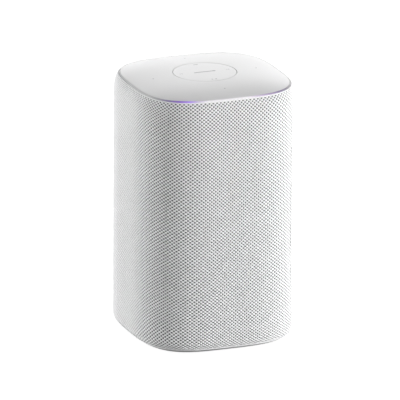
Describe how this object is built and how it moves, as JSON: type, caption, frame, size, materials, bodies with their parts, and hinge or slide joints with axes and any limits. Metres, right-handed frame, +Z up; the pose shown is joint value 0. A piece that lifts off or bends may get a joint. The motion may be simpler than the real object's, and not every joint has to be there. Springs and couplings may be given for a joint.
{
  "type": "smart speaker",
  "caption": "Rounded-square tabletop smart speaker with a knitted fabric sleeve, a lit strip round a crowned top and a round key that presses down.",
  "frame": {"origin": "centre of the footprint, on the plane of the tabletop", "axes": "+Z up, the front with the bass driver faces -Y, the mains inlet is on +Y, +X is to the right seen from the front"},
  "size_m": [0.122, 0.122, 0.198],
  "materials": {
    "knit_fabric": "knitted, matte",
    "cover_plastic": "satin moulded",
    "base_plastic": "satin moulded",
    "foot_rubber": "matte",
    "light_guide": "frosted translucent",
    "frame_plastic": "moulded",
    "black_plastic": "moulded",
    "steel": "zinc plated",
    "ferrite": "sintered",
    "cone_fibre": "pressed fibre",
    "dome_fabric": "coated cloth",
    "spider_cloth": "resin-treated cloth",
    "surround_rubber": "matte",
    "gasket_foam": "foam",
    "silicone": "translucent silicone",
    "aluminium": "plain",
    "copper": "enamelled wire",
    "contact_metal": "nickel plated",
    "board_green": "solder mask",
    "components": "moulded parts",
    "can_blue": "sleeved cans",
    "lamp_white": "moulded",
    "board_white": "white solder mask",
    "wire_jacket": "jacket",
    "ribbon_film": "film",
    "wadding": "polyester wool"
  },
  "bodies": {
    "housing": {"rubber_foot": "foot_rubber", "base_plate": "base_plastic", "base_ring": "base_plastic", "base_screws": "steel", "lower_chassis": "black_plastic", "rear_panel": "base_plastic", "inlet_housing": "black_plastic", "inlet_pins": "contact_metal", "inlet_wires": "wire_jacket", "power_board": "board_green", "power_transformer": "components", "power_capacitors": "can_blue", "cabinet_shell": "black_plastic", "cabinet_lid": "black_plastic", "lid_gasket": "gasket_foam", "case_screws": "steel", "damping_wadding": "wadding", "woofer_basket": "black_plastic", "woofer_magnet": "ferrite", "woofer_top_plate": "steel", "woofer_yoke": "steel", "woofer_surround": "surround_rubber", "woofer_spider": "spider_cloth", "woofer_gasket": "gasket_foam", "driver_screws": "steel", "tweeter_left_frame": "black_plastic", "tweeter_left_magnet": "ferrite", "tweeter_left_surround": "dome_fabric", "radiator_left_frame": "black_plastic", "radiator_left_surround": "surround_rubber", "tweeter_right_frame": "black_plastic", "tweeter_right_magnet": "ferrite", "tweeter_right_surround": "dome_fabric", "radiator_right_frame": "black_plastic", "radiator_right_surround": "surround_rubber", "main_board": "board_green", "main_board_parts": "components", "heat_sink": "aluminium", "antenna_boards": "board_green", "ribbon_cable": "ribbon_film", "top_frame": "frame_plastic", "led_board": "board_white", "leds": "lamp_white", "touch_board": "board_green", "microphones": "contact_metal", "tact_switch": "components", "key_spring": "silicone", "light_ring": "light_guide", "top_panel": "cover_plastic", "grille_frame": "frame_plastic", "fabric_sleeve": "knit_fabric"},
    "key": {"action_key": "cover_plastic", "switch_stem": "components"},
    "woofer_moving": {"woofer_cone": "cone_fibre", "woofer_dust_cap": "cone_fibre", "woofer_voice_coil": "copper"},
    "tweeter_left_moving": {"tweeter_left_dome": "dome_fabric"},
    "tweeter_right_moving": {"tweeter_right_dome": "dome_fabric"},
    "radiator_left_moving": {"radiator_left_plate": "aluminium"},
    "radiator_right_moving": {"radiator_right_plate": "aluminium"}
  },
  "joints": [
    {"name": "action_key_press", "type": "slide", "parent": "housing", "child": "key", "axis": [0, 0, -1], "range_m": [0, 0.0006], "stiffness_N_per_m": 3500, "springref_m": -0.0003, "deforming": ["key_spring"]},
    {"name": "woofer_stroke", "type": "slide", "parent": "housing", "child": "woofer_moving", "axis": [0, 1, 0], "range_m": [-0.003, 0.003], "stiffness_N_per_m": 1400, "deforming": ["woofer_surround", "woofer_spider"]},
    {"name": "radiator_left_stroke", "type": "slide", "parent": "housing", "child": "radiator_left_moving", "axis": [1, 0, 0], "range_m": [-0.004, 0.004], "stiffness_N_per_m": 600, "deforming": ["radiator_left_surround"]},
    {"name": "radiator_right_stroke", "type": "slide", "parent": "housing", "child": "radiator_right_moving", "axis": [1, 0, 0], "range_m": [-0.004, 0.004], "stiffness_N_per_m": 600, "deforming": ["radiator_right_surround"]},
    {"name": "tweeter_left_stroke", "type": "slide", "parent": "housing", "child": "tweeter_left_moving", "axis": [0, 1, 0], "range_m": [-0.0003, 0.0003], "stiffness_N_per_m": 900, "deforming": ["tweeter_left_surround"]},
    {"name": "tweeter_right_stroke", "type": "slide", "parent": "housing", "child": "tweeter_right_moving", "axis": [0, 1, 0], "range_m": [-0.0003, 0.0003], "stiffness_N_per_m": 900, "deforming": ["tweeter_right_surround"]}
  ],
  "couplings": [
    {"joint": "radiator_right_stroke", "follows": "woofer_stroke", "ratio": 0.47},
    {"joint": "radiator_left_stroke", "follows": "woofer_stroke", "ratio": -0.47}
  ]
}
